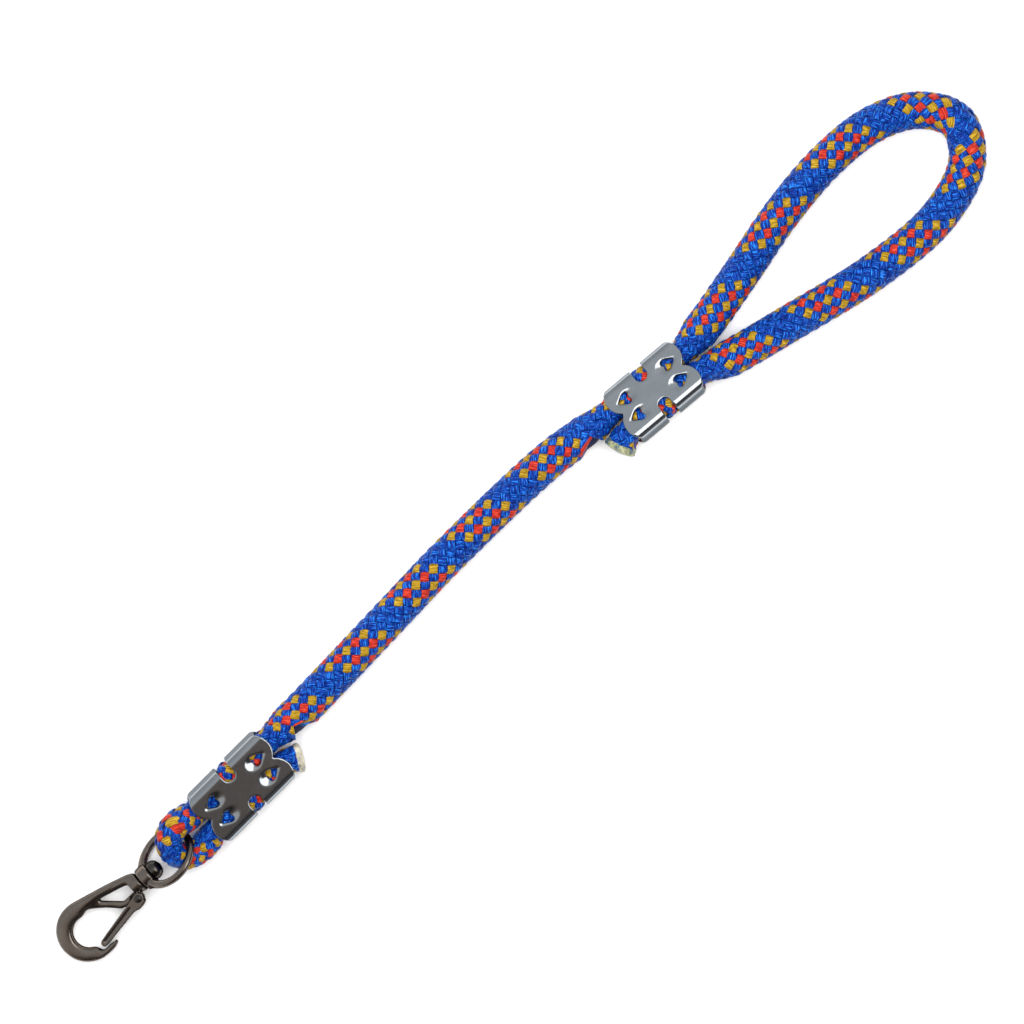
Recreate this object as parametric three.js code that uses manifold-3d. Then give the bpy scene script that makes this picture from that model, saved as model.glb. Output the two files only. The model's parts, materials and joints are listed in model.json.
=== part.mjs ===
// A short braided rope lead: one rope folded back at both ends and gripped by two folded steel clamps.
// The upper fold is the hand loop. The lower fold holds a swivel eye with a trigger snap hook.
// Millimetres, +Z up, lying on z = 0, +X from the hook towards the hand loop.

import * as THREE from "three";
import { mergeVertices } from "three/addons/utils/BufferGeometryUtils.js";
import Module from "manifold-3d";

const wasm = await Module();
wasm.setup();

// ---- Driving dimensions ----

const GAP = 0.3; // clearance kept between separate pieces

const ROPE_R = 7.0; // half of the rope's 14 mm diameter
const GRIP_HALF_W = 4.7; // half width of one strand squeezed in a clamp
const GRIP_HALF_H = 5.7; // half height of one strand squeezed in a clamp
const BIGHT_HALF_W = 4.9; // half thickness of the strand folded round the eye
const BIGHT_HALF_H = 6.2;
const BIGHT_ROLL = 33; // degrees that the lower fold is turned about the lead's axis
const FADE = 12; // length over which a squeezed strand becomes round again

const CLAMP_W = 22.4;
const CLAMP_H = 14.6;
const CLAMP_T = 1.0; // sheet thickness
const CLAMP_BEND_R = 3.2; // outside bend radius
const SEAM = 1.4; // open seam along the back
const HOLE_R = 2.3; // round end of a punched tear-drop hole
const HOLE_TIP = 4.0; // from the round end's centre to the hole's tip
const HOLE_Y = 3.8; // holes each side of the middle line
const NOTCH_R = 2.5; // half width of the slot through each side fold
const NOTCH_DEPTH = 6.6; // how far a slot reaches in from the side
const TOOTH_W = 3.4;
const TOOTH_L = 2.8;
const TOOTH_T = 0.9;
const LOBE_R = 7.0; // each scalloped end has two lobes of this radius

const LOWER_CLAMP = { x: -67.6, y: 0.8, length: 37.2, holeX: 10.3, yaw: 1, roll: 8, lift: 0.9 };
const UPPER_CLAMP = { x: 139.3, y: -0.75, length: 33.4, holeX: 9.1, yaw: -4, roll: -10, lift: 0 };

const EYE_PIVOT = new THREE.Vector3(-94.5, 0.9, 10.3); // middle of the eye's bar inside the fold
const SNAP_PITCH = 7.4; // degrees that the snap slopes down to the surface
const EYE_R = 10.6; // centre radius of the eye's ring
const EYE_BAR_R = 1.35;
const EYE_TILT = 45; // degrees between the ring's plane and the snap's plane
const HUB_R = 4.6;
const HUB_START = 18.3; // distances along the snap's axis from the eye pivot
const HUB_END = 22.9;
const POST_R = 1.9;
const POST_HEAD_R = 3.6;
const POST_HEAD_START = 14.0;
const POST_END = 27.0;

const BODY_T = 4.4; // thickness of the hook's bowl and spine
const FRAME_T = 3.2; // thickness of the strut and the lower bar, inside the gate's cheeks
const LUG_T = 1.4; // thickness of the gate lug, with the spring beside it
const BOWL_X = 50.2; // bowl centre along the axis
const BOWL_Y = -0.3;
const BOWL_R = 6.1; // inside of the bowl
const BOWL_OUT_R = 11.1;
const PIVOT_X = 28.3; // gate pin
const PIVOT_Y = 3.6;
const GATE_ANGLE = 8.6; // degrees between the closed gate and the snap's axis
const GATE_L = 21.6;
const GATE_HALF_W = 1.75;
const GATE_T = 5.3; // over both cheeks
const GATE_WALL = 0.7;
const PIN_R = 0.8;
const WIRE_R = 0.14;
const COIL_R = 1.75;
const COIL_PITCH = 0.36;
const COIL_CLEARANCE = 0.1; // between the coil and the lug
const CURVE_SEGMENTS = 10; // straight pieces in each curved stretch of an outline

// Puts the origin on the surface, under the middle of the metal pieces.
const ORIGIN_SHIFT = [-0.44, 0.3, 0];

// The rope's centre line, from the cut end at the lower clamp to the cut end at the upper clamp.
const ROUTE = [
  [-44.8, -6.7, 8.0], [-48.4, -4.8, 8.4], [-53.0, -3.9, 8.6], [-67.6, -4.2, 8.6],
  [-85.2, -4.5, 8.55], [-89.5, -5.1, 7.4], [-94.5, -5.22, 6.32], [-99.66, -3.43, 7.49],
  [-101.8, 0.9, 10.3], [-99.66, 5.23, 13.11], [-94.5, 7.02, 14.28], [-89.6, 6.2, 11.5],
  [-86.0, 5.6, 9.75], [-67.6, 5.8, 10.0], [-50.5, 6.0, 9.85], [-36.0, 5.3, 7.3], [-15.4, 6.0, 7.1],
  [15.0, 7.4, 7.1], [46.4, 8.7, 7.1], [95.0, 8.2, 7.1],
  [112.0, 5.9, 7.2], [123.0, 5.35, 7.7], [139.3, 4.2, 7.75], [156.0, 3.0, 7.7],
  [169.6, 4.3, 7.1], [191.0, 8.4, 7.1], [218.0, 14.0, 7.1], [243.0, 16.4, 7.1],
  [264.0, 14.2, 7.1], [279.0, 6.6, 7.1], [286.4, -6.2, 7.1], [279.0, -19.2, 7.1],
  [258.0, -26.3, 7.1], [228.0, -24.6, 7.1], [191.5, -16.6, 7.1], [168.0, -10.9, 7.3],
  [155.6, -6.9, 9.5], [139.3, -5.7, 9.5], [122.4, -4.5, 9.45], [116.2, -6.5, 8.2],
].map(([x, y, z]) => new THREE.Vector3(x, y, z));
const STEPS_PER_POINT = 2;

// ---- Solids ----

const rad = THREE.MathUtils.degToRad;

function toSolid(geometry) {
  const bare = geometry.index ? geometry.toNonIndexed() : geometry.clone();
  bare.deleteAttribute("normal");
  bare.deleteAttribute("uv");
  const merged = mergeVertices(bare, 1e-4);
  return new wasm.Manifold(new wasm.Mesh({
    numProp: 3,
    vertProperties: new Float32Array(merged.attributes.position.array),
    triVerts: new Uint32Array(merged.index.array),
  }));
}

function toGeometry(solid) {
  const mesh = solid.getMesh();
  const geometry = new THREE.BufferGeometry();
  geometry.setAttribute("position", new THREE.BufferAttribute(mesh.vertProperties, 3));
  geometry.setIndex(new THREE.BufferAttribute(mesh.triVerts, 1));
  const flat = geometry.toNonIndexed();
  flat.computeVertexNormals();
  return flat;
}

function union(geometries) {
  return geometries.map(toSolid).reduce((sum, next) => sum.add(next));
}

// A shape in XY, extruded along Z with its middle at z.
function plate(shape, thickness, z = 0) {
  const options = { depth: thickness, bevelEnabled: false, curveSegments: CURVE_SEGMENTS };
  return new THREE.ExtrudeGeometry(shape, options).translate(0, 0, z - thickness / 2);
}

function polygon(points) {
  return new THREE.Shape(points.map(([x, y]) => new THREE.Vector2(x, y)));
}

function box(x0, x1, y0, y1, z0, z1) {
  const geometry = new THREE.BoxGeometry(x1 - x0, y1 - y0, z1 - z0);
  return geometry.translate((x0 + x1) / 2, (y0 + y1) / 2, (z0 + z1) / 2);
}

// A round bar along X.
function roundX(radius, x0, x1, sides = 20) {
  const geometry = new THREE.CylinderGeometry(radius, radius, x1 - x0, sides);
  return geometry.rotateZ(Math.PI / 2).translate((x0 + x1) / 2, 0, 0);
}

// A round bar along Z.
function roundZ(radius, x, y, length, sides = 14) {
  const geometry = new THREE.CylinderGeometry(radius, radius, length, sides);
  return geometry.rotateX(Math.PI / 2).translate(x, y, 0);
}

// A closed profile of [along X, radius] points turned round the X axis.
function turned(profile, sides = 20) {
  const points = profile.map(([x, r]) => new THREE.Vector2(r, x));
  return new THREE.LatheGeometry(points, sides).rotateZ(-Math.PI / 2);
}

function piece(name, geometry, material) {
  const mesh = new THREE.Mesh(geometry, material);
  mesh.name = name;
  return mesh;
}

// ---- Rope ----

function ease(value) {
  return THREE.MathUtils.smoothstep(value, 0, 1);
}

// 1 inside a clamp, falling to 0 at FADE beyond its ends.
function grip(clamp, x) {
  const outside = Math.abs(x - clamp.x) - clamp.length / 2;
  return 1 - ease(outside / FADE);
}

// The strand's half width, half height and roll where it passes x.
function ropeSection(x) {
  const held = Math.max(grip(LOWER_CLAMP, x), grip(UPPER_CLAMP, x));
  const folded = ease((LOWER_CLAMP.x - LOWER_CLAMP.length / 2 - x + 1) / 9);
  const roll = LOWER_CLAMP.roll * grip(LOWER_CLAMP, x) + UPPER_CLAMP.roll * grip(UPPER_CLAMP, x);
  const mix = THREE.MathUtils.lerp;
  return {
    halfWidth: mix(mix(ROPE_R, GRIP_HALF_W, held), BIGHT_HALF_W, folded),
    halfHeight: mix(mix(ROPE_R, GRIP_HALF_H, held), BIGHT_HALF_H, folded),
    roll: rad(mix(roll, BIGHT_ROLL, folded)),
  };
}

// A straight twelve-sided bar, bent along the route and given the section that each place has.
function makeRope() {
  const curve = new THREE.CatmullRomCurve3(ROUTE, false, "centripetal");
  const steps = (ROUTE.length - 1) * STEPS_PER_POINT;
  const round = new THREE.Shape().absarc(0, 0, 1, 0, 2 * Math.PI);
  const bar = new THREE.ExtrudeGeometry(round, { depth: 1, steps, bevelEnabled: false, curveSegments: 6 });
  const spots = bar.attributes.position;
  for (let i = 0; i < spots.count; i += 1) {
    const along = THREE.MathUtils.clamp(spots.getZ(i), 0, 1);
    const centre = curve.getPoint(along);
    const tangent = curve.getTangent(along);
    const section = ropeSection(centre.x);
    const up = new THREE.Vector3(0, -Math.sin(section.roll), Math.cos(section.roll));
    const side = new THREE.Vector3().crossVectors(up, tangent).normalize();
    up.crossVectors(tangent, side);
    centre.addScaledVector(side, spots.getX(i) * section.halfWidth);
    centre.addScaledVector(up, spots.getY(i) * section.halfHeight);
    spots.setXYZ(i, centre.x, centre.y, centre.z);
  }
  return bar;
}

// ---- Clamps ----

function clampRest(clamp) {
  const flatW = CLAMP_W / 2 - CLAMP_BEND_R;
  const flatH = CLAMP_H / 2 - CLAMP_BEND_R;
  const roll = Math.abs(rad(clamp.roll));
  return flatW * Math.sin(roll) + flatH * Math.cos(roll) + CLAMP_BEND_R;
}

function clampMatrix(clamp) {
  const matrix = new THREE.Matrix4().makeTranslation(clamp.x, clamp.y, clampRest(clamp) + clamp.lift);
  matrix.multiply(new THREE.Matrix4().makeRotationZ(rad(clamp.yaw)));
  return matrix.multiply(new THREE.Matrix4().makeRotationX(rad(clamp.roll)));
}

function roundedRect(halfW, halfH, radius, target) {
  target.moveTo(halfW, -halfH + radius);
  target.lineTo(halfW, halfH - radius);
  target.absarc(halfW - radius, halfH - radius, radius, 0, Math.PI / 2);
  target.lineTo(-halfW + radius, halfH);
  target.absarc(-halfW + radius, halfH - radius, radius, Math.PI / 2, Math.PI);
  target.lineTo(-halfW, -halfH + radius);
  target.absarc(-halfW + radius, -halfH + radius, radius, Math.PI, Math.PI * 1.5);
  target.lineTo(halfW - radius, -halfH);
  target.absarc(halfW - radius, -halfH + radius, radius, Math.PI * 1.5, Math.PI * 2);
  return target;
}

// The folded sheet: a tube of rounded rectangular section, open along its back seam.
function foldedTube(length) {
  const outer = roundedRect(CLAMP_W / 2, CLAMP_H / 2, CLAMP_BEND_R, new THREE.Shape());
  const innerW = CLAMP_W / 2 - CLAMP_T;
  const innerH = CLAMP_H / 2 - CLAMP_T;
  outer.holes.push(roundedRect(innerW, innerH, CLAMP_BEND_R - CLAMP_T, new THREE.Path()));
  const tube = new THREE.ExtrudeGeometry(outer, { depth: length, bevelEnabled: false, curveSegments: 5 });
  tube.translate(0, 0, -length / 2);
  tube.applyMatrix4(new THREE.Matrix4().makeBasis(
    new THREE.Vector3(0, 1, 0),
    new THREE.Vector3(0, 0, 1),
    new THREE.Vector3(1, 0, 0),
  ));
  return tube;
}

// The plan outline: each end has two round lobes with a cusp between them.
function scallopedPlan(length) {
  const lobeY = CLAMP_W / 4;
  const edge = Math.asin(lobeY / LOBE_R);
  const centreX = length / 2 - LOBE_R;
  const plan = new THREE.Shape();
  plan.absarc(centreX, -lobeY, LOBE_R, -edge, edge);
  plan.absarc(centreX, lobeY, LOBE_R, -edge, edge);
  plan.absarc(-centreX, lobeY, LOBE_R, Math.PI - edge, Math.PI + edge);
  plan.absarc(-centreX, -lobeY, LOBE_R, Math.PI - edge, Math.PI + edge);
  return plan;
}

function tearDrop(x, y, outward) {
  const side = Math.acos(HOLE_R / HOLE_TIP);
  const start = outward > 0 ? side : Math.PI - side;
  const drop = new THREE.Shape();
  drop.absarc(x, y, HOLE_R, start, -start, outward < 0);
  drop.lineTo(x + outward * HOLE_TIP, y);
  return drop;
}

// One tooth: a triangle standing across the clamp, its root in the sheet, its point in the rope.
function tooth(x, y, face, extra) {
  const root = CLAMP_H / 2 - CLAMP_T / 2 + (extra > 0 ? 2 : 0);
  const spread = extra > 0 ? 1 + 2 / TOOTH_L : 1;
  const point = CLAMP_H / 2 - CLAMP_T - TOOTH_L - extra;
  const halfW = (TOOTH_W / 2) * spread + extra;
  const blade = polygon([[-halfW, root], [0, point], [halfW, root]]);
  const geometry = new THREE.ExtrudeGeometry(blade, { depth: TOOTH_T + 2 * extra, bevelEnabled: false });
  geometry.translate(0, 0, -TOOTH_T / 2 - extra);
  geometry.applyMatrix4(new THREE.Matrix4().makeBasis(
    new THREE.Vector3(0, 1, 0),
    new THREE.Vector3(0, 0, 1),
    new THREE.Vector3(1, 0, 0),
  ));
  if (face < 0) geometry.rotateX(Math.PI);
  return geometry.translate(x, y, 0);
}

function eachHole(clamp, visit) {
  for (const outward of [-1, 1]) {
    for (const side of [-1, 1]) visit(outward * clamp.holeX, side * HOLE_Y, outward);
  }
}

function teeth(clamp, extra) {
  const found = [];
  eachHole(clamp, (x, y, outward) => {
    for (const face of [-1, 1]) {
      found.push(tooth(x - outward * (HOLE_R - 0.2), y, face, extra));
    }
  });
  return found;
}

function foldNotch(side) {
  const inner = CLAMP_W / 2 - NOTCH_DEPTH + NOTCH_R;
  const slot = new THREE.Shape();
  slot.moveTo(NOTCH_R, CLAMP_W);
  slot.lineTo(-NOTCH_R, CLAMP_W);
  slot.absarc(0, inner, NOTCH_R, Math.PI, 2 * Math.PI);
  return plate(slot, CLAMP_H * 2).rotateZ(side > 0 ? 0 : Math.PI);
}

function makeClamp(clamp) {
  let sheet = toSolid(foldedTube(clamp.length + 2));
  sheet = sheet.intersect(toSolid(plate(scallopedPlan(clamp.length), CLAMP_H * 2)));
  sheet = sheet.subtract(toSolid(box(-40, 40, -SEAM / 2, SEAM / 2, -CLAMP_H, 0)));
  eachHole(clamp, (x, y, outward) => {
    sheet = sheet.subtract(toSolid(plate(tearDrop(x, y, outward), CLAMP_H * 2)));
  });
  for (const side of [-1, 1]) sheet = sheet.subtract(toSolid(foldNotch(side)));
  return teeth(clamp, 0).reduce((sum, one) => sum.add(toSolid(one)), sheet);
}

function cutToothPockets(rope, clamp) {
  const place = clampMatrix(clamp);
  return teeth(clamp, GAP).reduce(
    (sum, one) => sum.subtract(toSolid(one.applyMatrix4(place))),
    rope,
  );
}

// ---- Swivel eye and post ----

function makeEye() {
  const ring = new THREE.TorusGeometry(EYE_R, EYE_BAR_R, 8, 30).translate(EYE_R, 0, 0);
  const hub = turned([
    [HUB_START, 0], [HUB_START, HUB_R - 1.0], [HUB_START + 1.0, HUB_R],
    [HUB_END - 0.6, HUB_R], [HUB_END, HUB_R - 0.6], [HUB_END, 0],
  ]);
  const bore = roundX(POST_R + GAP, HUB_START - 3, HUB_END + 1);
  return union([ring, hub]).subtract(toSolid(bore));
}

function makePost() {
  const shoulder = HUB_START - GAP;
  return turned([
    [POST_HEAD_START, 0], [POST_HEAD_START + 0.3, 1.9], [POST_HEAD_START + 1.2, 3.2],
    [POST_HEAD_START + 2.2, POST_HEAD_R], [shoulder, POST_HEAD_R], [shoulder, POST_R],
    [POST_END - 0.3, POST_R], [POST_END - 0.3, 0],
  ], 18);
}

// ---- Hook body ----

// Bowl, nose and spine as one outline. The gate side is +Y, the spine side is -Y.
function bowlShape() {
  const outerY = BOWL_Y - 0.6;
  const shape = new THREE.Shape();
  shape.moveTo(23.2, -4.4);
  shape.lineTo(26.0, -5.8);
  shape.lineTo(BOWL_X - 3.1, outerY - 10.66);
  shape.absarc(BOWL_X, outerY, BOWL_OUT_R, rad(-106), rad(90));
  shape.quadraticCurveTo(46.4, 10.5, 45.0, 9.6);
  shape.lineTo(45.0, 8.8);
  shape.lineTo(50.2, 8.75);
  shape.quadraticCurveTo(52.0, 8.5, 52.2, 5.5);
  shape.absarc(BOWL_X, BOWL_Y, BOWL_R, rad(70), rad(-112), true);
  shape.lineTo(43.2, -7.3);
  shape.lineTo(27.0, -2.6);
  shape.quadraticCurveTo(24.6, -1.6, 25.2, 0.0);
  shape.lineTo(25.4, 2.6);
  shape.lineTo(23.2, 3.4);
  return shape;
}

// Strut and lower bar, thin enough to pass between the gate's cheeks.
function frameShape() {
  const shape = new THREE.Shape();
  shape.moveTo(24.0, 3.2);
  shape.lineTo(24.0, -0.6);
  shape.quadraticCurveTo(25.4, 0.9, 27.0, 0.7);
  shape.lineTo(33.2, 0.6);
  shape.quadraticCurveTo(37.0, -3.8, 41.0, -7.2);
  shape.lineTo(45.8, -7.0);
  shape.quadraticCurveTo(39.4, -2.8, 35.6, 2.1);
  shape.lineTo(33.6, 2.6);
  shape.lineTo(26.0, 2.9);
  return shape;
}

function makeHookBody() {
  const lug = new THREE.Shape().absarc(PIVOT_X, PIVOT_Y - 0.35, 2.0, 0, 2 * Math.PI);
  const neck = turned([[23.2, 0], [23.2, 3.6], [24.0, 4.1], [25.4, 3.4], [27.6, 2.9], [27.6, 0]], 18);
  neck.translate(0, -0.5, 0);
  const bowl = plate(bowlShape(), BODY_T);
  const frame = plate(frameShape(), FRAME_T);
  const spin = roundX(POST_R + GAP, 22, POST_END);
  const pin = roundZ(PIN_R + GAP, PIVOT_X, PIVOT_Y, 20);
  const springRoom = toSolid(roundZ(2.9, PIVOT_X, PIVOT_Y, 20));
  const middleLayer = toSolid(box(0, 60, -20, 20, -LUG_T / 2, LUG_T / 2));
  const body = union([bowl, frame, neck, plate(lug, LUG_T)]);
  return body
    .subtract(springRoom.subtract(middleLayer))
    .subtract(toSolid(spin))
    .subtract(toSolid(pin));
}

// ---- Gate, pin and spring, in the gate's own frame: X along the gate, +Y outward ----

function gateOutline() {
  const shape = new THREE.Shape();
  shape.absarc(0, 0, 2.1, rad(115), rad(245));
  shape.lineTo(3.0, -GATE_HALF_W);
  shape.lineTo(GATE_L - 1.6, -1.35);
  shape.quadraticCurveTo(GATE_L, -1.2, GATE_L, 0);
  shape.quadraticCurveTo(GATE_L, 1.3, GATE_L - 1.2, 1.35);
  shape.lineTo(5.6, GATE_HALF_W);
  shape.quadraticCurveTo(4.0, 1.9, 3.0, 2.6);
  shape.quadraticCurveTo(1.2, 3.4, -0.9, 2.3);
  return shape;
}

function makeGate() {
  const inside = new THREE.Shape();
  inside.moveTo(-4, -4);
  inside.lineTo(GATE_L - 2.2, -4);
  inside.lineTo(GATE_L - 2.2, 0.65);
  inside.lineTo(5.4, GATE_HALF_W - GATE_WALL);
  inside.quadraticCurveTo(3.8, 1.2, 2.7, 1.9);
  inside.quadraticCurveTo(1.0, 2.6, -0.7, 1.75);
  inside.lineTo(-4, 1.75);
  const solid = toSolid(plate(gateOutline(), GATE_T));
  const pocket = toSolid(plate(inside, GATE_T - 2 * GATE_WALL));
  return solid.subtract(pocket).subtract(toSolid(roundZ(PIN_R + GAP, 0, 0, 20)));
}

function makePin() {
  const shank = GATE_T / 2 + GAP;
  return new THREE.LatheGeometry([
    [0, -shank - 0.5], [1.0, -shank - 0.4], [1.5, -shank], [PIN_R, -shank],
    [PIN_R, shank], [1.5, shank], [1.0, shank + 0.4], [0, shank + 0.5],
  ].map(([r, z]) => new THREE.Vector2(r, z)), 14).rotateX(Math.PI / 2);
}

// Two turns of wire beside the lug, with one leg under the gate's web and one under the lower bar.
function makeSpring() {
  const zStart = LUG_T / 2 + COIL_CLEARANCE + WIRE_R;
  const points = [new THREE.Vector3(6.6, 0.35, zStart), new THREE.Vector3(3.4, 1.2, zStart)];
  const turns = 2;
  const perTurn = 8;
  for (let i = 2; i <= turns * perTurn + 3; i += 1) {
    const angle = Math.PI / 2 + ((i - 2) * 2 * Math.PI) / perTurn;
    const z = zStart + ((i - 2) / perTurn) * COIL_PITCH;
    points.push(new THREE.Vector3(COIL_R * Math.cos(angle), COIL_R * Math.sin(angle), z));
  }
  const wire = new THREE.Shape().absarc(0, 0, WIRE_R, 0, 2 * Math.PI);
  const path = new THREE.CatmullRomCurve3(points);
  return new THREE.ExtrudeGeometry(wire, { steps: 60, extrudePath: path, curveSegments: 3 });
}

// ---- Assembly ----

const ropeMaterial = new THREE.MeshStandardMaterial({ color: 0x1247a8, roughness: 0.6, metalness: 0 });
const clampMaterial = new THREE.MeshStandardMaterial({ color: 0xb4b9bd, roughness: 0.25, metalness: 1 });
const hookMaterial = new THREE.MeshStandardMaterial({ color: 0x6b635c, roughness: 0.35, metalness: 1 });
const steelMaterial = new THREE.MeshStandardMaterial({ color: 0x8a8681, roughness: 0.3, metalness: 1 });

function clampPiece(name, clamp) {
  const mesh = piece(name, toGeometry(makeClamp(clamp)), clampMaterial);
  mesh.applyMatrix4(clampMatrix(clamp));
  return mesh;
}

// The snap's own frame: X from the eye pivot along the snap, +Z up.
function snapGroup() {
  const along = new THREE.Vector3(-Math.cos(rad(SNAP_PITCH)), 0, -Math.sin(rad(SNAP_PITCH)));
  const across = new THREE.Vector3(0, -1, 0);
  const up = new THREE.Vector3().crossVectors(along, across);
  const group = new THREE.Group();
  group.quaternion.setFromRotationMatrix(new THREE.Matrix4().makeBasis(along, across, up));
  group.position.copy(EYE_PIVOT);
  const eye = piece("swivel_eye", toGeometry(makeEye()), hookMaterial);
  eye.rotation.x = rad(EYE_TILT);
  const gateFrame = new THREE.Group();
  gateFrame.position.set(PIVOT_X, PIVOT_Y, 0);
  gateFrame.rotation.z = rad(GATE_ANGLE);
  gateFrame.add(piece("gate", toGeometry(makeGate()), hookMaterial));
  gateFrame.add(piece("gate_pin", makePin(), steelMaterial));
  gateFrame.add(piece("gate_spring", makeSpring(), steelMaterial));
  group.add(eye);
  group.add(piece("swivel_post", makePost(), steelMaterial));
  group.add(piece("hook_body", toGeometry(makeHookBody()), hookMaterial));
  group.add(gateFrame);
  return group;
}

const lead = new THREE.Group();
lead.position.set(...ORIGIN_SHIFT);
const rope = [LOWER_CLAMP, UPPER_CLAMP].reduce(cutToothPockets, toSolid(makeRope()));
lead.add(piece("rope", toGeometry(rope), ropeMaterial));
lead.add(clampPiece("lower_clamp", LOWER_CLAMP));
lead.add(clampPiece("upper_clamp", UPPER_CLAMP));
lead.add(snapGroup());

export default lead;
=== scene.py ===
"""A short braided rope lead with two folded clamps and a swivel snap hook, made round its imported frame."""

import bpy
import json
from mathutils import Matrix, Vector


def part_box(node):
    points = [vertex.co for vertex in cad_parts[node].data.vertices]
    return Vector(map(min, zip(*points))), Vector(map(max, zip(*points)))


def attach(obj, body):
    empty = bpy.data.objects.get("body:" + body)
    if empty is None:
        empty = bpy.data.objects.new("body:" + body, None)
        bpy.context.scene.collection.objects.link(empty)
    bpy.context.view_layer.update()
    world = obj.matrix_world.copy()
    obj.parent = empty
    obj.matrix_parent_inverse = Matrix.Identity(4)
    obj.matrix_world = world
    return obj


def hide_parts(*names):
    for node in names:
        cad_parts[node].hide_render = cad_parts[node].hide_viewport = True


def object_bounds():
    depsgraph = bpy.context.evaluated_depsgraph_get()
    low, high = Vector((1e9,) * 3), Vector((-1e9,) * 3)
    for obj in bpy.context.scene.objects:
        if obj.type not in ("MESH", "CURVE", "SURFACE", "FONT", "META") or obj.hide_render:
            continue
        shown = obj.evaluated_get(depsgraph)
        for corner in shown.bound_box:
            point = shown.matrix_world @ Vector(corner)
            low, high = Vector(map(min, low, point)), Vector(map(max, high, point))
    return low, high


bl_info = {
    "name": "Braided Rope Lead",
    "version": (1, 0, 0),
    "blender": (4, 5, 0),
    "location": "3D View > Sidebar > Rope Lead",
    "description": "Makes a braided rope lead with folded clamps and a swivel snap hook",
    "category": "Object",
}

import json
import math

import bmesh
import bpy
import numpy as np
from mathutils import Matrix, Vector

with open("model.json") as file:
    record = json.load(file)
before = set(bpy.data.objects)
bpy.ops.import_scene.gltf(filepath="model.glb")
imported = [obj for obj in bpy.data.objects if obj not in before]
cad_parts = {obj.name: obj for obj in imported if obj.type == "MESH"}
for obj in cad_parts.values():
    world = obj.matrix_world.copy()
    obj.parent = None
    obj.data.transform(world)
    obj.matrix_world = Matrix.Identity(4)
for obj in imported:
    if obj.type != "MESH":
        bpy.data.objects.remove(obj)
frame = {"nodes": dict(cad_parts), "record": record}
CAD_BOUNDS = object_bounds()
JOINTS = {joint["name"]: joint for joint in frame["record"]["behaviour"]["joints"]}
MM = 0.001

# The rope's centre line in metres, from the cut end at the lower clamp to the cut end at the upper clamp.
ROUTE = (
    (-0.0448, -0.0067, 0.0080), (-0.0484, -0.0048, 0.0084), (-0.0530, -0.0039, 0.0086),
    (-0.0676, -0.0042, 0.0086), (-0.0852, -0.0045, 0.00855), (-0.0895, -0.0051, 0.0074),
    (-0.0945, -0.00522, 0.00632), (-0.09966, -0.00343, 0.00749), (-0.1018, 0.0009, 0.0103),
    (-0.09966, 0.00523, 0.01311), (-0.0945, 0.00702, 0.01428), (-0.0896, 0.0062, 0.0115),
    (-0.0860, 0.0056, 0.00975), (-0.0676, 0.0058, 0.0100), (-0.0505, 0.0060, 0.00985),
    (-0.0360, 0.0053, 0.0073), (-0.0154, 0.0060, 0.0071), (0.0150, 0.0074, 0.0071),
    (0.0464, 0.0087, 0.0071), (0.0950, 0.0082, 0.0071),
    (0.1120, 0.0059, 0.0072), (0.1230, 0.00535, 0.0077), (0.1393, 0.0042, 0.00775),
    (0.1560, 0.0030, 0.0077), (0.1696, 0.0043, 0.0071), (0.1910, 0.0084, 0.0071),
    (0.2180, 0.0140, 0.0071), (0.2430, 0.0164, 0.0071), (0.2640, 0.0142, 0.0071),
    (0.2790, 0.0066, 0.0071), (0.2864, -0.0062, 0.0071), (0.2790, -0.0192, 0.0071),
    (0.2580, -0.0263, 0.0071), (0.2280, -0.0246, 0.0071), (0.1915, -0.0166, 0.0071),
    (0.1680, -0.0109, 0.0073), (0.1556, -0.0069, 0.0095), (0.1393, -0.0057, 0.0095),
    (0.1224, -0.0045, 0.00945), (0.1162, -0.0065, 0.0082),
)
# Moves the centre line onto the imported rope.
ORIGIN_SHIFT = Vector((-0.00044, 0.0003, 0.0))

# How far the rope lies twisted, in turns, at places in metres along it: each clamp twisted it as it closed.
TWIST = (
    (0.0, -0.57), (0.045, -0.57), (0.078, -0.26), (0.134, 0.12), (0.265, 0.33), (0.347, -0.06),
    (0.458, -0.28), (0.483, 0.01), (0.593, -0.18),
)


def linear(code):
    """A #rrggbb colour as linear red, green and blue."""
    parts = [int(code[i:i + 2], 16) / 255 for i in (1, 3, 5)]
    return tuple(c / 12.92 if c <= 0.04045 else ((c + 0.055) / 1.055) ** 2.4 for c in parts)


def rgba(colour):
    return (colour[0], colour[1], colour[2], 1.0)


def length_prop(name, description, default):
    return bpy.props.FloatProperty(
        name=name, description=description, default=default, unit="LENGTH", subtype="DISTANCE", precision=5
    )


def angle_prop(name, description, degrees):
    return bpy.props.FloatProperty(
        name=name, description=description, default=math.radians(degrees), unit="ROTATION", subtype="ANGLE"
    )


def colour_prop(name, description, code):
    return bpy.props.FloatVectorProperty(
        name=name, description=description, default=linear(code), size=3, subtype="COLOR", min=0, max=1
    )


# ---- Settings ----


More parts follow.
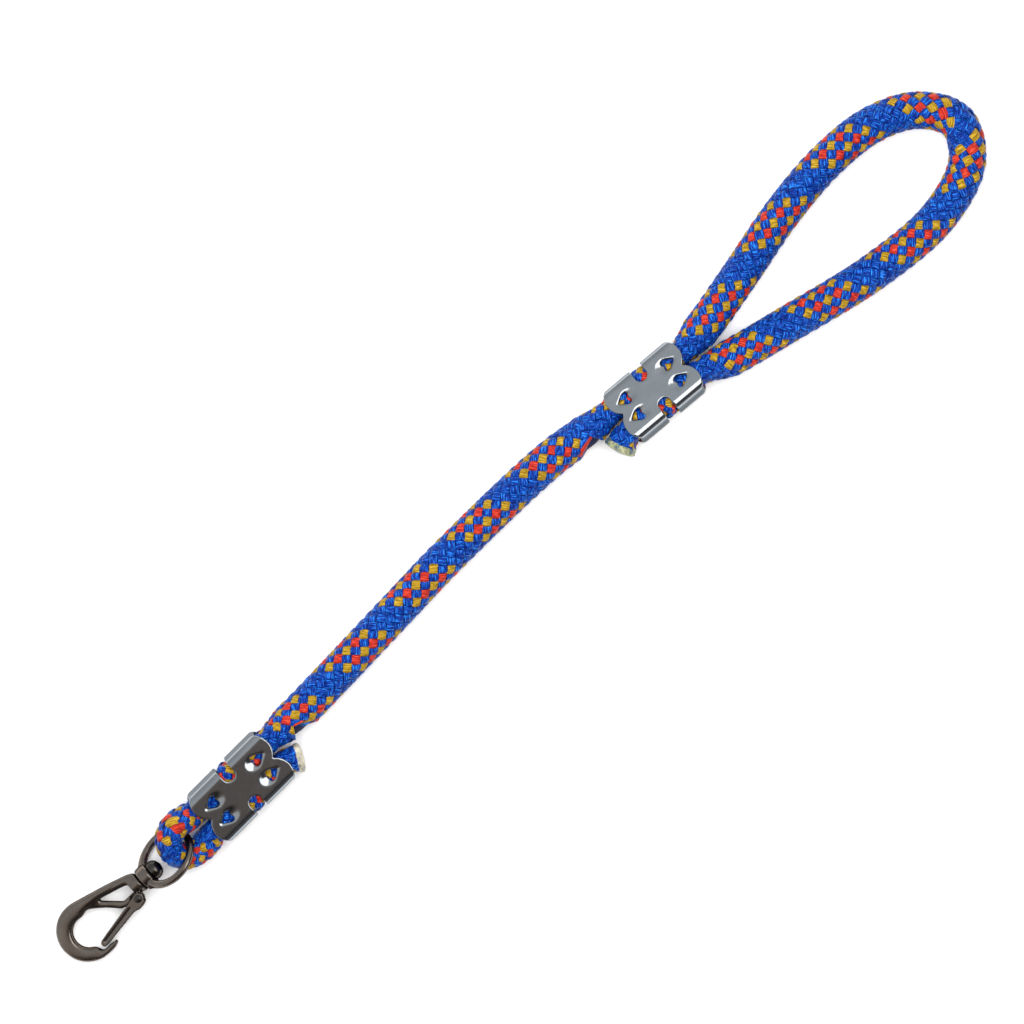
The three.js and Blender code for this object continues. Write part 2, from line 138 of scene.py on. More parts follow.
class RopeSettings(bpy.types.PropertyGroup):
    """The braided rope: its size, its braid and its yarn colours."""

    diameter: length_prop("Diameter", "Over the crowns of the braid", 0.014)
    pitch: length_prop("Pitch", "Length of one full turn of a strand", 0.0345)
    strands_each_way: bpy.props.IntProperty(
        name="Strands each way", description="Strands that turn one way round the rope", default=8, min=3
    )
    strand_width: length_prop("Strand width", "Across one flat strand", 0.0040)
    strand_thickness: length_prop("Strand thickness", "Through one strand at its crown", 0.0013)
    wave: length_prop("Wave", "How far a strand rises and dips as it passes over and under", 0.00055)
    grip_half_width: length_prop("Gripped half width", "Half of one strand's width in a clamp", 0.0047)
    grip_half_height: length_prop("Gripped half height", "Half of one strand's height in a clamp", 0.0057)
    fold_half_width: length_prop("Folded half width", "Half thickness round the eye", 0.0049)
    fold_half_height: length_prop("Folded half height", "Half height round the eye", 0.0062)
    fold_roll: angle_prop("Fold roll", "Turn of the lower fold about the lead", 33)
    bulge: length_prop("Bulge", "How far a gripped strand swells out through a clamp's notch", 0.0015)
    fade: length_prop("Fade", "Length over which the rope becomes round again", 0.012)
    blue: colour_prop("Blue", "Main yarn", "#053290")
    yellow: colour_prop("Yellow", "Marker yarn, three strands", "#a5811c")
    red: colour_prop("Red", "Marker yarn, two strands", "#b82c1f")
    lower_melt: colour_prop("Lower melted end", "Heat-sealed fibre at the lower cut end", "#a39d88")
    upper_melt: colour_prop("Upper melted end", "Heat-sealed fibre at the upper cut end", "#667156")


class ClampSettings(bpy.types.PropertyGroup):
    """The folded sheet clamps."""

    lower_length: length_prop("Lower length", "Length of the lower clamp over its lobes", 0.0372)
    upper_length: length_prop("Upper length", "Length of the upper clamp over its lobes", 0.0334)
    lower_roll: angle_prop("Lower roll", "Turn of the lower clamp about its length", 8)
    upper_roll: angle_prop("Upper roll", "Turn of the upper clamp about its length", -10)
    lower_yaw: angle_prop("Lower yaw", "Turn of the lower clamp in plan", 1)
    upper_yaw: angle_prop("Upper yaw", "Turn of the upper clamp in plan", -4)
    lower_hole_reach: length_prop("Lower hole reach", "Lower clamp's middle to a hole's centre", 0.0103)
    upper_hole_reach: length_prop("Upper hole reach", "Upper clamp's middle to a hole's centre", 0.0091)
    hole_spread: length_prop("Hole spread", "Clamp's middle line to a row of holes", 0.0038)
    hole_radius: length_prop("Hole radius", "Round end of a tear-drop hole", 0.0023)
    hole_taper: length_prop("Hole taper", "Length over which a hole narrows to its tip", 0.0046)
    plate: colour_prop("Plate", "Bright nickel plate", "#969b9f")


class SnapSettings(bpy.types.PropertyGroup):
    """The swivel eye and the snap hook."""

    eye_radius: length_prop("Eye radius", "Centre radius of the ring", 0.0106)
    eye_bar: length_prop("Eye bar", "Bar radius of the ring", 0.00135)
    eye_tilt: angle_prop("Eye tilt", "Ring's plane against the hook's plane", 45)
    gate_lean: angle_prop("Gate lean", "Closed gate against the hook's axis", 8.6)
    plate: colour_prop("Plate", "Black nickel plate", "#756c65")
    steel: colour_prop("Steel", "Darkened steel of the rivets", "#4c4947")


class LeadSettings(bpy.types.PropertyGroup):
    """Everything a user may change."""

    rope: bpy.props.PointerProperty(type=RopeSettings)
    clamp: bpy.props.PointerProperty(type=ClampSettings)
    snap: bpy.props.PointerProperty(type=SnapSettings)


def settings():
    return bpy.context.scene.rope_lead


# ---- Nodes and meshes ----


def add_node(tree, kind, inputs=None, **values):
    """Adds a node, sets its values, and sets or links its inputs: a node there means its first output."""
    node = tree.nodes.new(kind)
    for key, value in values.items():
        setattr(node, key, value)
    for key, value in (inputs or {}).items():
        source = value.outputs[0] if isinstance(value, bpy.types.Node) else value
        if isinstance(source, bpy.types.NodeSocket):
            tree.links.new(source, node.inputs[key])
        else:
            node.inputs[key].default_value = source
    return node


def set_stops(ramp, *stops):
    """Gives a colour ramp its stops, places with linear colours, from the first to the last."""
    elements = ramp.color_ramp.elements
    for element, (place, colour) in zip(elements, (stops[0], stops[-1])):
        element.position = place
        element.color = rgba(colour)
    for place, colour in stops[1:-1]:
        elements.new(place).color = rgba(colour)


def new_material(name):
    material = bpy.data.materials.new(name)
    material.use_nodes = True
    material.node_tree.nodes.clear()
    return material, material.node_tree


def finish_material(tree, shader):
    add_node(tree, "ShaderNodeOutputMaterial", {"Surface": shader})


def link_object(name, mesh):
    obj = bpy.data.objects.new(name, mesh)
    bpy.context.scene.collection.objects.link(obj)
    return obj


def mesh_object(name, vertices, faces, material, smooth_angle=40):
    mesh = bpy.data.meshes.new(name)
    mesh.from_pydata([tuple(v) for v in vertices], [], faces)
    mesh.validate()
    obj = link_object(name, mesh)
    mesh.materials.append(material)
    merge_doubles(obj, distance=1e-6, face_outward=True)
    shade(obj, smooth_angle)
    return obj


def merge_doubles(obj, distance, face_outward):
    """Merges doubled points, and turns the faces of a mesh that was made here outward."""
    work = bmesh.new()
    work.from_mesh(obj.data)
    bmesh.ops.remove_doubles(work, verts=work.verts, dist=distance)
    if face_outward:
        bmesh.ops.recalc_face_normals(work, faces=work.faces)
    work.to_mesh(obj.data)
    work.free()


def shade(obj, degrees):
    obj.data.shade_smooth()
    obj.data.set_sharp_from_angle(angle=math.radians(degrees))


def bake_modifiers(obj):
    """Replaces an object's mesh by its evaluated one and drops its modifiers."""
    graph = bpy.context.evaluated_depsgraph_get()
    baked = bpy.data.meshes.new_from_object(obj.evaluated_get(graph))
    obj.modifiers.clear()
    obj.data = baked
    obj.data.name = obj.name
    return obj


def claim(obj, body, slot, *nodes):
    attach(obj, body)
    if nodes:
        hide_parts(*nodes)


def dress(obj, material, degrees=60):
    """Gives a finished mesh its one material and its shading."""
    obj.data.materials.clear()
    obj.data.materials.append(material)
    shade(obj, degrees)


def loft(rings, closed_ends=True):
    """Vertices and faces of a skin over rings of equal point counts."""
    count = len(rings[0])
    vertices = [point for ring in rings for point in ring]
    faces = []
    for i in range(len(rings) - 1):
        for j in range(count):
            a, b = i * count + j, i * count + (j + 1) % count
            faces.append((a, b, b + count, a + count))
    if closed_ends:
        faces.append(tuple(range(count))[::-1])
        faces.append(tuple(range((len(rings) - 1) * count, len(rings) * count)))
    return vertices, faces


def joined(parts):
    """One vertex and face list from several."""
    vertices, faces = [], []
    for part_vertices, part_faces in parts:
        start = len(vertices)
        vertices.extend(part_vertices)
        faces.extend(tuple(index + start for index in face) for face in part_faces)
    return vertices, faces


def around(sides):
    """The angles of even steps round one full turn."""
    return [math.tau * k / sides for k in range(sides)]


# ---- The rope's line ----

LINE_SAMPLES = 4001
ROW_STEP = 0.55 * MM

# The section changes to the folded one over FOLD_FADE, from FOLD_LEAD inside the lower clamp's end.
FOLD_FADE = 0.009
FOLD_LEAD = 0.001
NOTCH_REACH = 1.7 * MM
GRIP_SQUARENESS = 0.3


def ease(value):
    value = np.clip(value, 0, 1)
    return value * value * (3 - 2 * value)


def spline_point(points, at):
    """A centripetal Catmull-Rom curve through points, at a place from 0 to the last index."""
    last = len(points) - 1
    i = min(int(at), last - 1)
    weight = at - i
    p1, p2 = points[i], points[i + 1]
    p0 = points[i - 1] if i > 0 else 2 * points[0] - points[1]
    p3 = points[i + 2] if i + 2 <= last else 2 * points[last] - points[last - 1]
    d0, d1, d2 = (np.linalg.norm(b - a) ** 0.5 for a, b in ((p0, p1), (p1, p2), (p2, p3)))
    m1 = ((p1 - p0) / d0 - (p2 - p0) / (d0 + d1) + (p2 - p1) / d1) * d1
    m2 = ((p2 - p1) / d1 - (p3 - p1) / (d1 + d2) + (p3 - p2) / d2) * d1
    c2 = -3 * p1 + 3 * p2 - 2 * m1 - m2
    c3 = 2 * p1 - 2 * p2 + m1 + m2
    return p1 + m1 * weight + c2 * weight**2 + c3 * weight**3


def even_route(step):
    """The rope's centre line in even steps: the length up to each row, its place and its direction."""
    points = [np.array(p) + np.array(ORIGIN_SHIFT) for p in ROUTE]
    dense = np.array([spline_point(points, at) for at in np.linspace(0, len(points) - 1, LINE_SAMPLES)])
    along = np.concatenate([[0], np.cumsum(np.linalg.norm(np.diff(dense, axis=0), axis=1))])
    place = np.linspace(0, along[-1], int(round(along[-1] / step)) + 1)
    centre = np.stack([np.interp(place, along, dense[:, k]) for k in range(3)], axis=1)
    tangent = np.gradient(centre, axis=0)
    return place, centre, tangent / np.linalg.norm(tangent, axis=1)[:, None]


def section_axes(tangent, roll):
    """The unit axes across the rope and up through it, where it is turned by roll about its line."""
    up = np.stack([np.zeros(len(roll)), -np.sin(roll), np.cos(roll)], axis=1)
    side = np.cross(up, tangent)
    side /= np.linalg.norm(side, axis=1)[:, None]
    return side, np.cross(tangent, side)


def half_size(gripped, at_fold, held, folded):
    """Half of the section's width or height: round where the rope is free, squeezed where held or folded."""
    radius = settings().rope.diameter / 2
    half = radius + (gripped - radius) * held
    return half + (at_fold - half) * folded


def middle_along(node):
    """Where a clamp's middle lies along the lead."""
    low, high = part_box(node)
    return (low[0] + high[0]) / 2


def rope_line(step):
    """The rope's centre line with its frame and section, a row for every step along it."""
    rope, clamp = settings().rope, settings().clamp
    place, centre, tangent = even_route(step)
    lower_middle = middle_along("lower_clamp")
    upper_middle = middle_along("upper_clamp")

    def grip(middle, length):
        outside = np.abs(centre[:, 0] - middle) - length / 2
        return 1 - ease(outside / rope.fade)

    lower = grip(lower_middle, clamp.lower_length)
    upper = grip(upper_middle, clamp.upper_length)
    held = np.maximum(lower, upper)
    clamp_end = lower_middle - clamp.lower_length / 2
    folded = ease((clamp_end - centre[:, 0] + FOLD_LEAD) / FOLD_FADE)
    half_width = half_size(rope.grip_half_width, rope.fold_half_width, held, folded)
    for middle in (lower_middle, upper_middle):
        half_width += rope.bulge * np.exp(-(((centre[:, 0] - middle) / NOTCH_REACH) ** 2))
    roll = clamp.lower_roll * lower + clamp.upper_roll * upper
    roll += (rope.fold_roll - roll) * folded
    side, up = section_axes(tangent, roll)
    return {
        "along": place, "centre": centre, "side": side, "up": up, "tangent": tangent,
        "half_width": half_width,
        "half_height": half_size(rope.grip_half_height, rope.fold_half_height, held, folded),
        "roundness": 1 - GRIP_SQUARENESS * held * (1 - folded),
        "twist": np.interp(place, [row[0] for row in TWIST], [row[1] for row in TWIST]),
    }


# ---- Rope: Geometry Nodes lay the strands along the line ----

# Each piece of the sheath: its yarn, the way it turns, and its first strand, step and count of strands.
SHEATH = (
    ("braid_yellow", "yellow", 1.0, 0, 2, 3),
    ("braid_red", "red", 1.0, 1, 2, 2),
    ("braid_blue_right", "blue", 1.0, 5, 1, 3),
    ("braid_blue_left_a", "blue", -1.0, 0, 1, 4),
    ("braid_blue_left_b", "blue", -1.0, 4, 1, 4),
)

# Each strand's streaks start this many millimetres further on than the last one's.
STREAK_OFFSET = 137.0

CORE_DEPTH = 1.8 * MM
CORE_SIDES = 16
CORE_ROW_STEP = 4

MELT_SIDES = 48
MELT_LIP = 0.6 * MM
MELT_SWELL = 0.12 * MM
MELT_RIPPLE = 0.08 * MM
RIPPLE_ANGLE = 1.9
DOME_HEIGHT = 1.1 * MM
DOME_DRAW = 0.96
DOME_SHARES = (0.25, 0.5, 0.75, 0.93)


def line_mesh(name, line):
    """The rope's line as a chain of edges that carries its frame and section as attributes."""
    rows = len(line["along"])
    mesh = bpy.data.meshes.new(name)
    mesh.from_pydata([tuple(p) for p in line["centre"]], [(i, i + 1) for i in range(rows - 1)], [])
    for key in ("side", "up"):
        attribute = mesh.attributes.new(key, "FLOAT_VECTOR", "POINT")
        attribute.data.foreach_set("vector", line[key].astype(np.float32).ravel())
    for key in ("along", "half_width", "half_height", "roundness", "twist"):
        attribute = mesh.attributes.new(key, "FLOAT", "POINT")
        attribute.data.foreach_set("value", line[key].astype(np.float32))
    return mesh


def strand_tree():
    """A tree that lays flat strands round the rope's line, each passing over and under the others."""
    tree = bpy.data.node_groups.new("rope_strands", "GeometryNodeTree")
    tree.is_modifier = True
    face = tree.interface
    face.new_socket("Geometry", in_out="INPUT", socket_type="NodeSocketGeometry")
    face.new_socket("Geometry", in_out="OUTPUT", socket_type="NodeSocketGeometry")
    for name in ("Pitch", "Turn", "Strands each way", "Lift", "Wave", "Width", "Thickness"):
        face.new_socket(name, in_out="INPUT", socket_type="NodeSocketFloat")
    for name in ("First", "Step", "Count"):
        face.new_socket(name, in_out="INPUT", socket_type="NodeSocketInt")
    face.new_socket("Material", in_out="INPUT", socket_type="NodeSocketMaterial")
    given = tree.nodes.new("NodeGroupInput").outputs
    line = add_node(tree, "GeometryNodeMeshToCurve", {"Mesh": given["Geometry"]})
    copies = add_node(
        tree, "GeometryNodeDuplicateElements", {"Geometry": line, "Amount": given["Count"]}, domain="SPLINE",
    )
    index = copies.outputs["Duplicate Index"]
    stepped = add_node(tree, "ShaderNodeMath", {0: index, 1: given["Step"]}, operation="MULTIPLY")
    number = add_node(tree, "ShaderNodeMath", {0: stepped, 1: given["First"]}, operation="ADD")
    angle, height = strand_angle_and_height(tree, given, number)
    offset, facing = strand_place(tree, angle, height)
    placed = add_node(tree, "GeometryNodeSetPosition", {"Geometry": copies, "Offset": offset})
    faced = add_node(
        tree, "GeometryNodeStoreNamedAttribute", {"Geometry": placed, "Name": "facing", "Value": facing},
        data_type="FLOAT_VECTOR", domain="POINT",
    )
    numbered = add_node(
        tree, "GeometryNodeStoreNamedAttribute", {"Geometry": faced, "Name": "strand", "Value": number},
        data_type="FLOAT", domain="POINT",
    )
    stored = add_node(tree, "GeometryNodeInputNamedAttribute", {"Name": "facing"}, data_type="FLOAT_VECTOR")
    turned = add_node(tree, "GeometryNodeSetCurveNormal", {"Curve": numbered, "Normal": stored}, mode="FREE")
    swept = add_node(
        tree, "GeometryNodeCurveToMesh",
        {"Curve": turned, "Profile Curve": strand_profile(tree, given), "Fill Caps": True},
    )
    real = add_node(tree, "GeometryNodeRealizeInstances", {"Geometry": swept})
    painted = add_node(tree, "GeometryNodeSetMaterial", {"Geometry": real, "Material": given["Material"]})
    add_node(tree, "NodeGroupOutput", {"Geometry": painted})
    return tree


def strand_angle_and_height(tree, given, number):
    """A strand's angle round the rope, and its height as it passes over and under the strands it meets."""
    along = add_node(tree, "GeometryNodeInputNamedAttribute", {"Name": "along"}, data_type="FLOAT")
    twist = add_node(tree, "GeometryNodeInputNamedAttribute", {"Name": "twist"}, data_type="FLOAT")
    pitches = add_node(tree, "ShaderNodeMath", {0: along, 1: given["Pitch"]}, operation="DIVIDE")
    turns = add_node(tree, "ShaderNodeMath", {0: pitches, 1: given["Turn"]}, operation="MULTIPLY")
    laid = add_node(tree, "ShaderNodeMath", {0: turns, 1: twist}, operation="ADD")
    strands = given["Strands each way"]
    share = add_node(tree, "ShaderNodeMath", {0: number, 1: strands}, operation="DIVIDE")
    whole = add_node(tree, "ShaderNodeMath", {0: laid, 1: share}, operation="ADD")
    angle = add_node(tree, "ShaderNodeMath", {0: whole, 1: math.tau}, operation="MULTIPLY")

    crossings = add_node(tree, "ShaderNodeMath", {0: pitches, 1: strands}, operation="MULTIPLY")
    phase = add_node(tree, "ShaderNodeMath", {0: crossings, 1: math.tau}, operation="MULTIPLY")
    over = add_node(tree, "ShaderNodeMath", {0: phase}, operation="COSINE")
    swing = add_node(tree, "ShaderNodeMath", {0: given["Wave"], 1: given["Turn"]}, operation="MULTIPLY")
    wave = add_node(tree, "ShaderNodeMath", {0: over, 1: swing}, operation="MULTIPLY")
    crest = add_node(tree, "ShaderNodeMath", {0: given["Wave"], 1: given["Lift"]}, operation="ADD")
    return angle, add_node(tree, "ShaderNodeMath", {0: wave, 1: crest}, operation="SUBTRACT")


def strand_place(tree, angle, height):
    """Where a strand lies off the rope's line, and the direction that it faces.

    A squeezed section is squarer than a round one: the power of the cosine and sine is below one.
    """
    power = add_node(tree, "GeometryNodeInputNamedAttribute", {"Name": "roundness"}, data_type="FLOAT")
    steps, directions = [], []
    for wave, axis, half in (("COSINE", "side", "half_width"), ("SINE", "up", "half_height")):
        plain_wave = add_node(tree, "ShaderNodeMath", {0: angle}, operation=wave)
        size = add_node(tree, "ShaderNodeMath", {0: plain_wave}, operation="ABSOLUTE")
        bulged = add_node(tree, "ShaderNodeMath", {0: size, 1: power}, operation="POWER")
        sign = add_node(tree, "ShaderNodeMath", {0: plain_wave}, operation="SIGN")
        share = add_node(tree, "ShaderNodeMath", {0: bulged, 1: sign}, operation="MULTIPLY")
        reach = add_node(tree, "GeometryNodeInputNamedAttribute", {"Name": half}, data_type="FLOAT")
        raised = add_node(tree, "ShaderNodeMath", {0: reach, 1: height}, operation="ADD")
        distance = add_node(tree, "ShaderNodeMath", {0: share, 1: raised}, operation="MULTIPLY")
        way = add_node(tree, "GeometryNodeInputNamedAttribute", {"Name": axis}, data_type="FLOAT_VECTOR")
        step = add_node(tree, "ShaderNodeVectorMath", {0: way, "Scale": distance}, operation="SCALE")
        direction = add_node(tree, "ShaderNodeVectorMath", {0: way, "Scale": share}, operation="SCALE")
        steps.append(step)
        directions.append(direction)
    offset = add_node(tree, "ShaderNodeVectorMath", dict(enumerate(steps)), operation="ADD")
    both = add_node(tree, "ShaderNodeVectorMath", dict(enumerate(directions)), operation="ADD")
    return offset, add_node(tree, "ShaderNodeVectorMath", {0: both}, operation="NORMALIZE")


def strand_profile(tree, given):
    """The section of a strand: a flat oval that carries its place across the strand from -1 to 1."""
    oval = add_node(
        tree, "GeometryNodeCurvePrimitiveCircle", {"Resolution": 10, "Radius": 0.5}, mode="RADIUS",
    )
    place = add_node(tree, "GeometryNodeInputPosition")
    parts = add_node(tree, "ShaderNodeSeparateXYZ", {"Vector": place}).outputs
    across = add_node(tree, "ShaderNodeMath", {0: parts["Y"], 1: 2.0}, operation="MULTIPLY")
    marked = add_node(
        tree, "GeometryNodeStoreNamedAttribute", {"Geometry": oval, "Name": "across", "Value": across},
        data_type="FLOAT", domain="POINT",
    )
    size = add_node(tree, "ShaderNodeCombineXYZ", {"X": given["Thickness"], "Y": given["Width"], "Z": 1.0})
    return add_node(tree, "GeometryNodeTransform", {"Geometry": marked, "Scale": size})


def lay_strands(name, line, tree, material, turn, first, step, count):
    """One piece of the sheath: every strand of one colour that turns one way."""
    rope = settings().rope
    obj = link_object(name, line_mesh(name, line))
    modifier = obj.modifiers.new("strands", "NODES")
    modifier.node_group = tree
    values = {
        "Pitch": rope.pitch, "Turn": turn, "Strands each way": float(rope.strands_each_way),
        "Lift": rope.strand_thickness / 2, "Wave": rope.wave, "Width": rope.strand_width,
        "Thickness": rope.strand_thickness, "First": first, "Step": step, "Count": count,
        "Material": material,
    }
    for item in tree.interface.items_tree:
        if item.in_out == "INPUT" and item.name in values:
            modifier[item.identifier] = values[item.name]
    bake_modifiers(obj)
    cut_square(obj, line)
    add_yarn_map(obj)
    dress(obj, material, degrees=75)
    claim(obj, "lead", "rope", "rope")
    return obj


def cut_square(obj, line):
    """Draws strand corners that reach past the rope's cut ends back to the cuts."""
    points = points_of(obj.data)
    for row, outward_sign in ((0, -1), (-1, 1)):
        cut = line["tangent"][row] * outward_sign
        from_end = points - line["centre"][row]
        near = np.linalg.norm(from_end, axis=1) < settings().rope.diameter
        past = np.clip(from_end @ cut, 0, None) * near
        points -= past[:, None] * cut
    set_points(obj.data, points)


def add_yarn_map(obj):
    """Turns the strand's own places, along in millimetres and across from 0 to 1, into its UV map."""
    mesh = obj.data
    stored = {}
    for key in ("along", "across", "strand"):
        stored[key] = np.zeros(len(mesh.vertices), np.float32)
        mesh.attributes[key].data.foreach_get("value", stored[key])
    corner = np.zeros(len(mesh.loops), np.int32)
    mesh.loops.foreach_get("vertex_index", corner)
    uv = mesh.uv_layers.new(name="yarn")
    along = stored["along"] / MM + STREAK_OFFSET * stored["strand"]
    places = np.stack([along, stored["across"] / 2 + 0.5], axis=1)[corner]
    uv.data.foreach_set("uv", places.astype(np.float32).ravel())
    for key in (*stored, "facing", "side", "up", "half_width", "half_height", "roundness", "twist"):
        if key in mesh.attributes:
            mesh.attributes.remove(mesh.attributes[key])


def section_ring(line, row, shrink, sides, shift=0.0, wobble=None):
    """Points round the rope at one row of its line, drawn in by shrink and moved along the line by shift."""
    ring = []
    power = line["roundness"][row]
    for angle in around(sides):
        across = math.copysign(abs(math.cos(angle)) ** power, math.cos(angle))
        above = math.copysign(abs(math.sin(angle)) ** power, math.sin(angle))
        scale = 1.0 if wobble is None else wobble(angle)
        offset = line["side"][row] * across * (line["half_width"][row] - shrink) * scale
        offset = offset + line["up"][row] * above * (line["half_height"][row] - shrink) * scale
        ring.append(line["centre"][row] + offset + line["tangent"][row] * shift)
    return ring


def make_core(line, material):
    """The core under the sheath, its colour painted dark as shade, which shows only between the strands."""
    rows = range(0, len(line["along"]), CORE_ROW_STEP)
    rings = [section_ring(line, row, CORE_DEPTH, CORE_SIDES) for row in rows]
    obj = mesh_object("rope_core", *loft(rings), material, smooth_angle=60)
    claim(obj, "lead", "rope", "rope")
    return obj, [tuple(line["centre"][row]) for row in rows]


def melt_wobble(angle):
    """The share by which a melted end stands out at an angle round it."""
    return 1 + 0.012 * math.sin(5 * angle + 0.7) + 0.008 * math.sin(11 * angle + 2.0)


def melted_end(name, line, at_start, band, material):
    """A heat-sealed end: a hard band over the last strands, closed by a low uneven dome."""
    count = len(line["along"])
    rows = int(band / line["along"][1])
    order = range(rows, -1, -1) if at_start else range(count - 1 - rows, count)
    outward_sign = -1 if at_start else 1
    rings = []
    for i, row in enumerate(order):
        drawn_in = MELT_RIPPLE * math.sin(RIPPLE_ANGLE * i) + (-MELT_SWELL if i else MELT_LIP)
        rings.append(section_ring(line, row, drawn_in, MELT_SIDES, wobble=melt_wobble))
    last = order[-1]
    for share in DOME_SHARES:
        bend = share * math.pi / 2
        drawn_in = line["half_width"][last] * (1 - math.cos(bend)) * DOME_DRAW
        rise = outward_sign * DOME_HEIGHT * math.sin(bend)
        rings.append(section_ring(line, last, drawn_in, MELT_SIDES, rise, melt_wobble))
    obj = mesh_object(name, *loft(rings), material, smooth_angle=60)
    claim(obj, "lead", "rope", "rope")
    return obj


# ---- Rope materials ----

# Each yarn's painted highlight colour, for the glinting dashes on its filaments, and its darkest tone.
YARN_GLINT_AND_DARK_TONES = {
    "blue": ("#2a8cf2", "#031a62"), "yellow": ("#cdaa3c", "#74590f"), "red": ("#e0563c", "#801c1a"),
}
PLIES = 4
PLY_TWIST = 1.6


def yarn_material(name, colour, light, dark):
    """Braided nylon yarn: satin filaments with painted highlight dashes, and painted shade that darkens them
    where strands meet.
    """
    material, tree = new_material(name)
    uv = add_node(tree, "ShaderNodeUVMap", uv_map="yarn")

    # Streaks 1.8 mm long and a ninth of a strand wide: coarser than real filaments, so that they show.
    stretched = add_node(tree, "ShaderNodeMapping", {"Vector": uv, "Scale": (0.55, 9.0, 1.0)})
    streak = add_node(
        tree, "ShaderNodeTexNoise", {"Vector": stretched, "Scale": 1.0, "Detail": 4.0, "Roughness": 0.6},
    )
    parts = add_node(tree, "ShaderNodeSeparateXYZ", {"Vector": uv}).outputs

    # The yarns lie side by side in a strand, and each is twisted once in PLY_TWIST millimetres.
    plies = add_node(tree, "ShaderNodeMath", {0: parts["Y"], 1: math.tau * PLIES}, operation="MULTIPLY")
    half_plies = add_node(tree, "ShaderNodeMath", {0: plies, 1: 0.5}, operation="MULTIPLY")
    ridge = add_node(tree, "ShaderNodeMath", {0: half_plies}, operation="SINE")
    ply = add_node(tree, "ShaderNodeMath", {0: ridge}, operation="ABSOLUTE")
    twist = add_node(tree, "ShaderNodeMath", {0: parts["X"], 1: math.tau / PLY_TWIST}, operation="MULTIPLY")
    slant = add_node(tree, "ShaderNodeMath", {0: plies, 1: twist}, operation="ADD")
    lay = add_node(tree, "ShaderNodeMath", {0: slant}, operation="SINE")

    # Painted highlight: the brightest streaks take the yarn's light tone as glints of sheen, the dimmest
    # take its dark tone.
    ramp = add_node(tree, "ShaderNodeValToRGB", {"Fac": streak})
    set_stops(ramp, (0.38, dark), (0.52, colour), (0.66, light))

    # Less light reaches a strand's two edges and the grooves between its yarns.
    doubled = add_node(tree, "ShaderNodeMath", {0: parts["Y"], 1: 2.0}, operation="MULTIPLY")
    signed = add_node(tree, "ShaderNodeMath", {0: doubled, 1: 1.0}, operation="SUBTRACT")
    from_middle = add_node(tree, "ShaderNodeMath", {0: signed}, operation="ABSOLUTE")
    valley = add_node(
        tree, "ShaderNodeMapRange",
        {"Value": from_middle, "From Min": 0.6, "From Max": 1.0, "To Min": 1.0, "To Max": 0.3},
    )
    groove = add_node(
        tree, "ShaderNodeMapRange",
        {"Value": ply, "From Min": 0.0, "From Max": 0.6, "To Min": 0.75, "To Max": 1.0},
    )
    light_share = add_node(tree, "ShaderNodeMath", {0: valley, 1: groove}, operation="MULTIPLY")
    shaded = add_node(tree, "ShaderNodeVectorMath", {0: ramp, "Scale": light_share}, operation="SCALE")

    low_lay = add_node(tree, "ShaderNodeMath", {0: lay, 1: 0.35}, operation="MULTIPLY")
    low_streak = add_node(tree, "ShaderNodeMath", {0: streak, 1: 0.8}, operation="MULTIPLY")
    twisted = add_node(tree, "ShaderNodeMath", {0: ply, 1: low_lay}, operation="ADD")
    relief = add_node(tree, "ShaderNodeMath", {0: twisted, 1: low_streak}, operation="ADD")
    bump = add_node(tree, "ShaderNodeBump", {"Height": relief, "Strength": 0.55, "Distance": 0.18 * MM})
    shader = add_node(
        tree, "ShaderNodeBsdfPrincipled",
        {"Base Color": shaded, "Roughness": 0.42, "IOR": 1.53, "Normal": bump, "Specular IOR Level": 0.12},
    )
    finish_material(tree, shader)
    return material


def core_material():
    """Packed polyester fibre, matt, its colour painted almost black as shade because no light reaches it."""
    material, tree = new_material("packed_polyester_core")
    place = add_node(tree, "ShaderNodeTexCoord").outputs["Object"]
    fibre = add_node(tree, "ShaderNodeTexNoise", {"Vector": place, "Scale": 1800.0, "Detail": 3.0})
    ramp = add_node(tree, "ShaderNodeValToRGB", {"Fac": fibre})
    set_stops(ramp, (0.0, linear("#04081c")), (1.0, linear("#0c1b4a")))
    shader = add_node(
        tree, "ShaderNodeBsdfPrincipled", {"Base Color": ramp, "Roughness": 0.9, "IOR": 1.55},
    )
    finish_material(tree, shader)
    return material


def melted_material(name, colour, light, dark):
    """Nylon melted by a hot knife: hard, waxy and clouded, with streaks of the yarns that ran together."""
    material, tree = new_material(name)
    place = add_node(tree, "ShaderNodeTexCoord").outputs["Object"]
    cloud = add_node(
        tree, "ShaderNodeTexNoise", {"Vector": place, "Scale": 420.0, "Detail": 5.0, "Roughness": 0.65},
    )
    ramp = add_node(tree, "ShaderNodeValToRGB", {"Fac": cloud})
    set_stops(ramp, (0.36, dark), (0.48, colour), (0.62, light))
    bump = add_node(tree, "ShaderNodeBump", {"Height": cloud, "Strength": 0.5, "Distance": 0.4 * MM})
    shader = add_node(
        tree, "ShaderNodeBsdfPrincipled",
        {
            "Base Color": ramp, "Roughness": 0.38, "IOR": 1.53, "Normal": bump,
            "Subsurface Weight": 0.1, "Subsurface Radius": (MM, MM, MM),
        },
    )
    finish_material(tree, shader)
    return material


# ---- Metal ----


